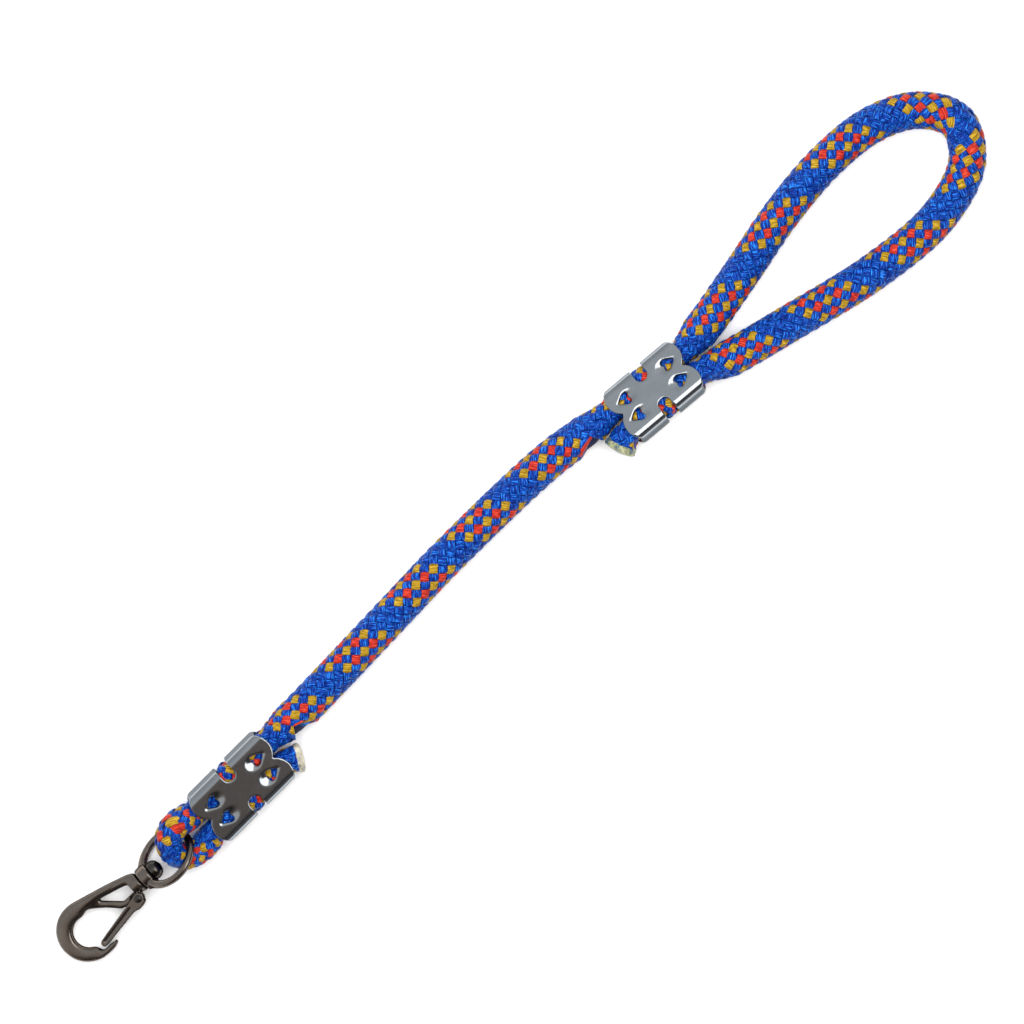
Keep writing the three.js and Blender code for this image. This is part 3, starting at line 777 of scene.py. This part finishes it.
def metal_material(name, colour, roughness, grain, wear, wear_colour, edge):
    """Plated metal: grain sizes its ripple, wear is the share rubbed lighter, edge tints it at a slant."""
    material, tree = new_material(name)
    place = add_node(tree, "ShaderNodeTexCoord").outputs["Object"]
    ripple = add_node(
        tree, "ShaderNodeTexNoise", {"Vector": place, "Scale": 1 / grain, "Detail": 5.0, "Roughness": 0.6},
    )
    blotch = add_node(tree, "ShaderNodeTexNoise", {"Vector": place, "Scale": 160.0, "Detail": 6.0})
    rubbed = add_node(
        tree, "ShaderNodeMapRange",
        {"Value": blotch, "From Min": 0.5, "From Max": 0.72, "To Min": 0.0, "To Max": wear},
    )
    tint = add_node(
        tree, "ShaderNodeMixRGB", {"Fac": rubbed, "Color1": rgba(colour), "Color2": rgba(wear_colour)},
    )
    smooth, rough = roughness * 0.8, roughness * 1.3
    gloss = add_node(
        tree, "ShaderNodeMapRange",
        {"Value": ripple, "From Min": 0.3, "From Max": 0.7, "To Min": smooth, "To Max": rough},
    )
    bump = add_node(tree, "ShaderNodeBump", {"Height": ripple, "Strength": 0.05, "Distance": grain * 0.05})
    shader = add_node(
        tree, "ShaderNodeBsdfPrincipled",
        {
            "Base Color": tint, "Metallic": 1.0, "Roughness": gloss, "Normal": bump,
            "Specular Tint": rgba(edge),
        },
    )
    finish_material(tree, shader)
    return material


def nickel_plate():
    """Bright nickel on pressed steel sheet: mirror-like with a faint ripple from rolling."""
    return metal_material(
        "bright_nickel_plated_sheet", settings().clamp.plate, roughness=0.14, grain=1.2 * MM, wear=0.35,
        wear_colour=linear("#a9adb0"), edge=linear("#8d9296"),
    )


def black_nickel():
    """Black nickel on a zinc casting: dark, warm and smooth, rubbed a little lighter in random patches."""
    return metal_material(
        "black_nickel_plated_zinc", settings().snap.plate, roughness=0.24, grain=0.7 * MM, wear=0.4,
        wear_colour=linear("#8a8178"), edge=linear("#322e2b"),
    )


def rivet_steel():
    """Headed steel rivets under the same dark plate, a little glossier for their turned faces."""
    return metal_material(
        "plated_rivet_steel", settings().snap.steel, roughness=0.2, grain=0.5 * MM, wear=0.3,
        wear_colour=linear("#7a736a"), edge=linear("#3a3633"),
    )


def spring_steel():
    """Bare drawn music wire, bright with fine draw lines."""
    return metal_material(
        "drawn_spring_wire", linear("#b6b4b0"), roughness=0.2, grain=0.3 * MM, wear=0.2,
        wear_colour=linear("#d8d6d0"), edge=linear("#c8c6c2"),
    )


def node_copy(node, name):
    """A merged copy of a CAD node's mesh."""
    obj = link_object(name, frame["nodes"][node].data.copy())
    obj.data.name = name
    obj.data.materials.clear()
    merge_doubles(obj, distance=2e-6, face_outward=False)
    return obj


def frame_matrix(origin, axes):
    """The matrix that takes a frame's own places to the row frame."""
    turn = Matrix([tuple(axis) for axis in axes]).transposed()
    return Matrix.Translation(Vector(origin)) @ turn.to_4x4()


def remeshed(obj, origin, axes, voxel):
    """Gives a mesh even faces in rows along the part's own axes, so that straight edges stay straight."""
    place = frame_matrix(origin, axes)
    obj.data.transform(place.inverted())
    modifier = obj.modifiers.new("even_mesh", "REMESH")
    modifier.mode = "VOXEL"
    modifier.voxel_size = voxel
    modifier.use_smooth_shade = True
    bake_modifiers(obj)
    obj.data.transform(place)
    return obj


def points_of(mesh):
    points = np.zeros(len(mesh.vertices) * 3)
    mesh.vertices.foreach_get("co", points)
    return points.reshape(-1, 3)


def set_points(mesh, points):
    mesh.vertices.foreach_set("co", points.ravel())
    mesh.update()


def swelled(obj, amount, weight):
    """Moves every point out along its normal, to win back what rounding took."""
    mesh = obj.data
    normals = np.zeros(len(mesh.vertices) * 3)
    mesh.vertex_normals.foreach_get("vector", normals)
    points = points_of(mesh)
    set_points(mesh, points + normals.reshape(-1, 3) * amount * weight(points)[:, None])


def everywhere(points):
    return np.ones(len(points))


def softened(obj, rounds, weight=everywhere):
    """Rounds a mesh's edges: every point moves towards its neighbours' middle, as far as its weight says."""
    mesh = obj.data
    count = len(mesh.vertices)
    points = points_of(mesh)
    edges = np.zeros(len(mesh.edges) * 2, np.int32)
    mesh.edges.foreach_get("vertices", edges)
    edges = edges.reshape(-1, 2)
    share = weight(points)[:, None]
    valence = np.bincount(edges.ravel(), minlength=count)[:, None].clip(1)
    for _ in range(rounds):
        total = np.zeros_like(points)
        for axis in range(3):
            total[:, axis] = np.bincount(edges[:, 0], points[edges[:, 1], axis], count)
            total[:, axis] += np.bincount(edges[:, 1], points[edges[:, 0], axis], count)
        points = points + (total / valence - points) * 0.5 * share
    set_points(mesh, points)
    return obj


def in_frame(points, origin, axes):
    """Row-frame points in a frame of three unit axes."""
    return (points - np.array(origin)) @ np.array(axes).T


def out_of_frame(points, origin, axes):
    """Points in a frame of three unit axes as row-frame points."""
    return np.array(points) @ np.array(axes) + np.array(origin)


def rising(values, start, length):
    """A share that rises from 0 at start to 1 over a length."""
    return np.clip((values - start) / length, 0, 1)


def clamp_frame(node, yaw, roll):
    """A clamp's middle and its axes: along, across and up."""
    low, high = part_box(node)
    turn = Matrix.Rotation(yaw, 3, "Z") @ Matrix.Rotation(roll, 3, "X")
    return (low + high) / 2, [tuple(turn.col[k]) for k in range(3)]


# A tear-drop hole is a line of shrinking circles, and the sheet curls away from the first part of that line.
HOLE_LINE = 4.0 * MM
CURL_LINE = 3.0 * MM
LEAST_REACH = 0.3 * MM
FACE_HEIGHT = 5.9 * MM


def drop_distance(past_centre, beside):
    """Distance outside one tear-drop hole's edge."""
    clamp = settings().clamp
    along = np.clip(past_centre, 0, HOLE_LINE)
    radius = clamp.hole_radius * (1 - along / clamp.hole_taper)
    return np.hypot(past_centre - along, beside) - radius


def curl(past_edge, tooth, size, tooth_size, reach, tooth_reach):
    """A move in millimetres that fades away from a hole's edge, larger and wider where its tooth stands."""
    fade = np.exp(-((past_edge / ((reach + tooth_reach * tooth) * MM)) ** 2))
    return (size + tooth_size * tooth) * MM * fade


def dish_hole(local, flat, end, row, hole_reach):
    """Curls the sheet inwards round one hole, most at its round end, where the tooth stands."""
    past_centre = local[:, 0] * end - hole_reach
    beside = local[:, 1] - row * settings().clamp.hole_spread
    past_edge = np.clip(drop_distance(past_centre, beside), 0, None)
    to_line = np.clip(past_centre, 0, CURL_LINE) - past_centre
    length = np.maximum(np.hypot(to_line, beside), LEAST_REACH)
    tooth = np.clip(-past_centre / length, 0, 1) ** 2
    depth = curl(past_edge, tooth, size=0.2, tooth_size=0.45, reach=0.3, tooth_reach=0.8)
    draw = curl(past_edge, tooth, size=0.1, tooth_size=1.3, reach=0.4, tooth_reach=0.4) * flat
    local[:, 2] -= np.sign(local[:, 2]) * depth * flat
    local[:, 0] += draw * to_line * end / length
    local[:, 1] -= draw * beside / length


def dish_holes(obj, origin, axes, hole_reach):
    """Dishes all four holes, through both faces of the clamp."""
    local = in_frame(points_of(obj.data), origin, axes)
    flat = np.abs(local[:, 2]) > FACE_HEIGHT
    for end in (-1, 1):
        for row in (-1, 1):
            dish_hole(local, flat, end, row, hole_reach)
    set_points(obj.data, out_of_frame(local, origin, axes))


def make_clamp(node, yaw, roll, hole_reach, material):
    """One folded clamp: its CAD sheet with even faces, dished holes and softened edges."""
    origin, axes = clamp_frame(node, yaw, roll)
    obj = remeshed(node_copy(node, node + "_sheet"), origin, axes, voxel=0.25 * MM)
    dish_holes(obj, origin, axes, hole_reach)
    softened(obj, rounds=5)
    dress(obj, material)
    claim(obj, "lead", "clamp", node)
    return obj


def snap_axes():
    """The snap's own frame: its origin at the eye pivot, along the swivel, across, and up."""
    origin = JOINTS["swivel_spin"]["pos_m"]
    along = Vector(JOINTS["swivel_spin"]["axis"])
    across = Vector((0, -1, 0))
    return origin, [tuple(along), tuple(across), tuple(along.cross(across))]


# The swivel's turned outlines, in millimetres along it from the eye's pivot and out from its middle line.
HUB_OUTLINE = ((18.3, 2.2), (18.3, 3.9), (19.1, 4.6), (22.4, 4.6), (22.9, 4.0), (22.9, 2.2), (18.3, 2.2))
POST_OUTLINE = (
    (14.0, 0.02), (14.05, 1.1), (14.35, 2.0), (15.1, 2.95), (16.2, 3.45), (17.2, 3.6), (17.85, 3.5),
    (18.0, 3.2), (18.0, 1.9), (26.7, 1.9),
)

# Half of the gate pin's outline, in millimetres in from its end and out from its middle line.
PIN_OUTLINE = ((0.0, 0.02), (0.03, 0.6), (0.18, 1.15), (0.5, 1.45), (0.5, 0.8))
PIN_INSET = 0.05 * MM

# The share of the softening that every part of the casting gets, and the share that the nose is spared.
LEAST_ROUNDING = 0.12
NOSE_HELD = 0.85

RING_STEPS = 96
BAR_STEPS = 20
BAR_FULLNESS = 1.05
HUB_SWELL = 0.5
HUB_SWELL_ANGLE = 0.55


def metres(outline):
    """An outline in millimetres as metres."""
    return [(along * MM, radius * MM) for along, radius in outline]


def turned(outline, sides, origin, axes):
    """Rings of an outline, its places along and out from the first of three axes, turned round that axis."""
    rings = []
    for along, radius in outline:
        ring = [(along, radius * math.cos(angle), radius * math.sin(angle)) for angle in around(sides)]
        rings.append(out_of_frame(ring, origin, axes))
    return rings


def rounded_profile(corners, radius, steps=5):
    """A profile with each inner corner rounded."""
    points = [corners[0]]
    for before, corner, after in zip(corners, corners[1:], corners[2:]):
        here = np.array(corner)
        to_before, to_after = np.array(before) - here, np.array(after) - here
        reach = min(radius, np.linalg.norm(to_before) / 2.1, np.linalg.norm(to_after) / 2.1)
        start = here + to_before / np.linalg.norm(to_before) * reach
        end = here + to_after / np.linalg.norm(to_after) * reach
        for i in range(steps + 1):
            t = i / steps
            points.append(tuple((1 - t) ** 2 * start + 2 * t * (1 - t) * here + t * t * end))
    points.append(corners[-1])
    return points


def eye_ring():
    """The eye's bar swept round its ring, thicker where it meets the hub."""
    snap = settings().snap
    sine, cosine = math.sin(snap.eye_tilt), math.cos(snap.eye_tilt)
    rings = []
    for turn in around(RING_STEPS):
        from_hub = min(turn, math.tau - turn)
        bar = snap.eye_bar * (BAR_FULLNESS + HUB_SWELL * math.exp(-((from_hub / HUB_SWELL_ANGLE) ** 2)))
        ring = []
        for angle in around(BAR_STEPS):
            reach = snap.eye_radius + bar * math.cos(angle)
            x = snap.eye_radius + reach * math.cos(turn)
            y = reach * math.sin(turn)
            z = bar * math.sin(angle)
            ring.append((x, y * cosine - z * sine, y * sine + z * cosine))
        rings.append(out_of_frame(ring, *snap_axes()))
    return rings + rings[:1]


def make_eye(material):
    """A round ring cast in one with its bored hub."""
    hub = turned(rounded_profile(metres(HUB_OUTLINE), 0.5 * MM), 48, *snap_axes())
    parts = joined([loft(eye_ring(), closed_ends=False), loft(hub, closed_ends=False)])
    obj = mesh_object("swivel_eye_ring", *parts, material)
    remeshed(obj, *snap_axes(), voxel=0.17 * MM)
    softened(obj, rounds=4)
    dress(obj, material)
    claim(obj, "eye", "hook", "swivel_eye")


def make_post(material):
    """The domed rivet that the hub turns on."""
    rings = turned(metres(POST_OUTLINE), 40, *snap_axes())
    obj = mesh_object("swivel_post_rivet", *loft(rings), material, smooth_angle=35)
    claim(obj, "snap", "steel", "swivel_post")


def make_hook(material):
    """The cast hook: bowl and spine well rounded, the strut, the gate's lug and the nose less so."""
    origin, axes = snap_axes()
    obj = remeshed(node_copy("hook_body", "hook_casting"), origin, axes, voxel=0.2 * MM)

    def casting_weight(points):
        x, y = in_frame(points, origin, axes)[:, :2].T
        past_gate = rising(x, start=33 * MM, length=4 * MM)
        spine = rising(-y, start=1.5 * MM, length=2 * MM)
        nose = rising(y, start=5 * MM, length=2 * MM) * rising(-x, start=-56 * MM, length=3 * MM)
        rounded = LEAST_ROUNDING + (1 - LEAST_ROUNDING) * np.maximum(past_gate, spine)
        return rounded * (1 - NOSE_HELD * nose)

    def clear_of_gate(points):
        x, y = in_frame(points, origin, axes)[:, :2].T
        return np.maximum(rising(x, start=44 * MM, length=4 * MM), rising(-y, start=6 * MM, length=2 * MM))

    softened(obj, rounds=150, weight=casting_weight)
    swelled(obj, amount=0.32 * MM, weight=clear_of_gate)
    dress(obj, material)
    claim(obj, "snap", "hook", "hook_body")


def gate_frame():
    """The gate pin's middle and the gate's own axes: along it, outward across it and up the pin."""
    joint = JOINTS["gate_open"]
    along, across = (Vector(axis) for axis in snap_axes()[1][:2])
    lean = settings().snap.gate_lean
    return joint["pos_m"], [
        tuple(along * math.cos(lean) + across * math.sin(lean)),
        tuple(across * math.cos(lean) - along * math.sin(lean)),
        tuple(-Vector(joint["axis"])),
    ]


def groove_cheeks(obj, origin, axes, depth=0.4 * MM, half_width=0.5 * MM, cheek_height=1.5 * MM):
    """Presses a shallow groove along both cheeks of the gate."""
    local = in_frame(points_of(obj.data), origin, axes)
    x, y, z = local.T
    inside = rising(x, start=4 * MM, length=MM) * rising(-x, start=-20.5 * MM, length=MM)
    pressed = depth * np.exp(-((y / half_width) ** 2)) * inside
    local[:, 2] -= np.sign(z) * pressed * (np.abs(z) > cheek_height)
    set_points(obj.data, out_of_frame(local, origin, axes))


def make_gate(material):
    """The gate: folded sheet with softened bends."""
    origin, axes = gate_frame()
    obj = remeshed(node_copy("gate", "gate_lever"), origin, axes, voxel=0.14 * MM)
    groove_cheeks(obj, origin, axes)
    softened(obj, rounds=6)
    dress(obj, material)
    claim(obj, "gate", "hook", "gate")


def make_pin(material):
    """The gate's rivet, with a low head at each end."""
    low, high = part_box("gate_pin")
    half = (high.z - low.z) / 2 - PIN_INSET
    near = [(inward - half, radius) for inward, radius in metres(PIN_OUTLINE)]
    far = [(half - inward, radius) for inward, radius in metres(PIN_OUTLINE[::-1])]
    origin, (along, across, up) = gate_frame()
    rings = turned(near + far, 32, origin, (up, along, across))
    obj = mesh_object("gate_pin_rivet", *loft(rings), material, smooth_angle=35)
    claim(obj, "gate", "steel", "gate_pin")


def finish_node(node, material):
    """Gives a carried-over CAD node its finish."""
    obj = frame["nodes"][node]
    obj.data.materials.clear()
    obj.data.materials.append(material)


# ---- Studio ----

# The studio's tones from -Y over straight up to +Y.
STUDIO_TONES = (
    (0.0, "#7c7c80"), (0.2, "#2c2827"), (0.37, "#80756f"), (0.43, "#a09892"), (0.5, "#eae6e2"),
    (0.65, "#e6ebf0"), (1.0, "#c9cdd1"),
)
CAMERA_HEIGHT = 3.0
FLOOR_REACH = 3
FLOOR_GAP = 0.0002


def floor_material():
    """Matt white studio paper."""
    material, tree = new_material("matt_studio_paper")
    place = add_node(tree, "ShaderNodeTexCoord").outputs["Object"]
    tooth = add_node(tree, "ShaderNodeTexNoise", {"Vector": place, "Scale": 900.0, "Detail": 2.0})
    bump = add_node(tree, "ShaderNodeBump", {"Height": tooth, "Strength": 0.03, "Distance": 0.1 * MM})
    shader = add_node(
        tree, "ShaderNodeBsdfPrincipled",
        {"Base Color": rgba(linear("#fafafa")), "Roughness": 0.9, "Normal": bump},
    )
    finish_material(tree, shader)
    return material


def add_light(name, place, aim, size, watts, in_metal):
    """A soft box aimed at a point; in_metal says whether the metal mirrors it."""
    data = bpy.data.lights.new(name, "AREA")
    data.shape = "RECTANGLE"
    data.size, data.size_y = size
    data.energy = watts
    light = bpy.data.objects.new(name, data)
    light.location = place
    light.rotation_euler = (Vector(aim) - Vector(place)).to_track_quat("-Z", "Y").to_euler()
    light.visible_camera = False
    light.visible_glossy = in_metal
    bpy.context.scene.collection.objects.link(light)


def make_world():
    """A dim studio: dark and warm on one side of straight up, grey on the other."""
    world = bpy.data.worlds.new("studio")
    world.use_nodes = True
    tree = world.node_tree
    tree.nodes.clear()
    towards = add_node(tree, "ShaderNodeTexCoord")
    parts = add_node(tree, "ShaderNodeSeparateXYZ", {"Vector": towards}).outputs
    tilt = add_node(tree, "ShaderNodeMapRange", {"Value": parts["Y"], "From Min": -1.0, "From Max": 1.0})
    ramp = add_node(tree, "ShaderNodeValToRGB", {"Fac": tilt})
    set_stops(ramp, *((place, linear(code)) for place, code in STUDIO_TONES))
    sky = add_node(tree, "ShaderNodeBackground", {"Color": ramp, "Strength": 1.0})
    add_node(tree, "ShaderNodeOutputWorld", {"Surface": sky})
    bpy.context.scene.world = world


def make_camera(centre, width, lead_angle):
    """Looks straight down, with the lead rising to the right by lead_angle in the frame."""
    data = bpy.data.cameras.new("camera")
    data.sensor_width = 36
    data.lens = data.sensor_width * CAMERA_HEIGHT / width
    camera = bpy.data.objects.new("camera", data)
    camera.location = (centre[0], centre[1], CAMERA_HEIGHT + centre[2])
    camera.rotation_euler = (0, 0, -lead_angle)
    bpy.context.scene.collection.objects.link(camera)
    bpy.context.scene.camera = camera


# ---- Operators ----


class LEAD_OT_stage(bpy.types.Operator):
    """Make the camera, the lights and the floor"""

    bl_idname = "lead.stage"
    bl_label = "Stage"

    def execute(self, context):
        low, high = CAD_BOUNDS
        middle = (low[0] + high[0]) / 2
        make_camera(centre=(middle + 0.0031, 0.0043, 0.007), width=0.3712, lead_angle=math.radians(44))
        make_world()
        add_light("key", (0.05, 0.25, 2.3), aim=(0.05, 0, 0), size=(2.6, 2.6), watts=80, in_metal=False)
        add_light("lamp", (0.2, -0.17, 0.6), aim=(0.2, -0.17, 0), size=(0.3, 0.5), watts=1.5, in_metal=True)
        corners = ((-1, -1), (1, -1), (1, 1), (-1, 1))
        vertices = [(x * FLOOR_REACH, y * FLOOR_REACH, low[2] - FLOOR_GAP) for x, y in corners]
        floor = mesh_object("studio_floor", vertices, [(0, 1, 2, 3)], floor_material())
        context.scene.view_settings.view_transform = "Standard"
        return {"FINISHED"}


class LEAD_OT_rope(bpy.types.Operator):
    bl_idname = "lead.rope"
    bl_label = "Braided rope"

    def execute(self, context):
        rope = settings().rope
        line = rope_line(ROW_STEP)
        tree = strand_tree()
        yarns = {}
        for key, (light, dark) in YARN_GLINT_AND_DARK_TONES.items():
            colours = getattr(rope, key), linear(light), linear(dark)
            yarns[key] = yarn_material("braided_nylon_" + key, *colours)
        pieces = [lay_strands(name, line, tree, yarns[yarn], *lay) for name, yarn, *lay in SHEATH]
        pale = melted_material("melted_nylon_pale", rope.lower_melt, linear("#c9c3ae"), linear("#6c7480"))
        olive = melted_material("melted_nylon_olive", rope.upper_melt, linear("#a5a37c"), linear("#1c3a6c"))
        pieces.append(melted_end("melted_end_lower", line, at_start=True, band=2.6 * MM, material=pale))
        pieces.append(melted_end("melted_end_upper", line, at_start=False, band=3.2 * MM, material=olive))
        core, path = make_core(line, core_material())
        return {"FINISHED"}


class LEAD_OT_clamps(bpy.types.Operator):
    """Make the two folded clamps"""

    bl_idname = "lead.clamps"
    bl_label = "Clamps"

    def execute(self, context):
        clamp = settings().clamp
        plate = nickel_plate()
        make_clamp("lower_clamp", clamp.lower_yaw, clamp.lower_roll, clamp.lower_hole_reach, plate)
        make_clamp("upper_clamp", clamp.upper_yaw, clamp.upper_roll, clamp.upper_hole_reach, plate)
        return {"FINISHED"}


class LEAD_OT_swivel(bpy.types.Operator):
    """Make the swivel eye and its post"""

    bl_idname = "lead.swivel"
    bl_label = "Swivel"

    def execute(self, context):
        make_eye(black_nickel())
        make_post(rivet_steel())
        return {"FINISHED"}


class LEAD_OT_hook(bpy.types.Operator):
    """Make the cast hook, its gate and its pin, and give the imported spring its finish"""

    bl_idname = "lead.hook"
    bl_label = "Snap hook"

    def execute(self, context):
        plate = black_nickel()
        make_hook(plate)
        make_gate(plate)
        make_pin(rivet_steel())
        finish_node("gate_spring", spring_steel())
        return {"FINISHED"}


class LEAD_PT_panel(bpy.types.Panel):
    """The lead's operators and settings"""

    bl_idname = "LEAD_PT_panel"
    bl_label = "Rope Lead"
    bl_space_type = "VIEW_3D"
    bl_region_type = "UI"
    bl_category = "Rope Lead"

    def draw(self, context):
        for name in ORDER:
            self.layout.operator(name)
        lead = context.scene.rope_lead
        for group in (lead.rope, lead.clamp, lead.snap):
            box = self.layout.box()
            for key in group.bl_rna.properties.keys():
                if key not in ("rna_type", "name"):
                    box.prop(group, key)


ORDER = ("lead.stage", "lead.rope", "lead.clamps", "lead.swivel", "lead.hook")
CLASSES = (
    RopeSettings, ClampSettings, SnapSettings, LeadSettings,
    LEAD_OT_stage, LEAD_OT_rope, LEAD_OT_clamps, LEAD_OT_swivel, LEAD_OT_hook, LEAD_PT_panel,
)


def register():
    for cls in CLASSES:
        bpy.utils.register_class(cls)
    bpy.types.Scene.rope_lead = bpy.props.PointerProperty(type=LeadSettings)


def unregister():
    del bpy.types.Scene.rope_lead
    for cls in reversed(CLASSES):
        bpy.utils.unregister_class(cls)


def main():
    register()
    for name in ORDER:
        group, action = name.split(".")
        getattr(getattr(bpy.ops, group), action)()


if __name__ == "__main__":
    main()
